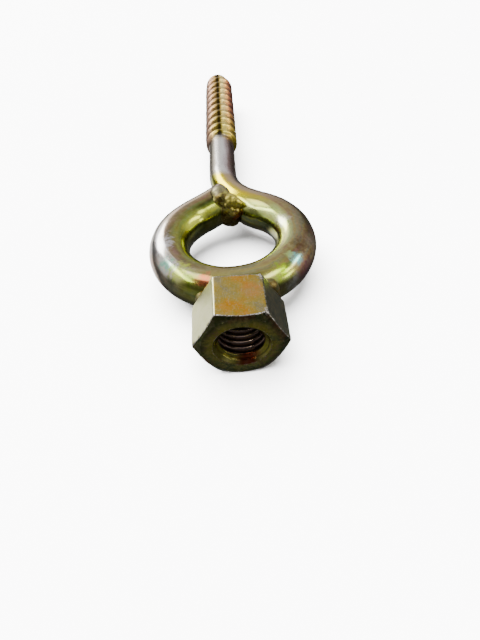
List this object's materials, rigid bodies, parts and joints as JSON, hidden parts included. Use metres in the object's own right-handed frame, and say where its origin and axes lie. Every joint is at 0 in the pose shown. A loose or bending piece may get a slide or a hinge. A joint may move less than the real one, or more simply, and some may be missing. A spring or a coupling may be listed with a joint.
{
  "type": "eye bolt",
  "caption": "Screw-in eye bolt in yellow-plated steel: coarse wood-type screw, plain shank, welded round eye, and a threaded hexagon nut welded to the outside of the eye.",
  "frame": {"origin": "middle of the bolt's whole length, on the line through the eye's centre and the nut's bore, in the plane of the eye", "axes": "+Y along the bolt towards the screw's tip, +Z square to the plane of the eye, +X across the eye"},
  "size_m": [0.0446, 0.1455, 0.0194],
  "materials": {
    "bar_plating": "iridescent yellow zinc plate, glossy, gold-green with pink and brown bands",
    "nut_plating": "yellow zinc plate, satin, ochre and olive with worn bright edges",
    "weld_metal": "plated weld bead, lumpy, gold and brown"
  },
  "bodies": {
    "root": {"eye_bar": "bar_plating", "hex_nut": "nut_plating", "eye_closure_weld": "weld_metal", "nut_weld_left": "weld_metal", "nut_weld_right": "weld_metal"}
  },
  "joints": []
}
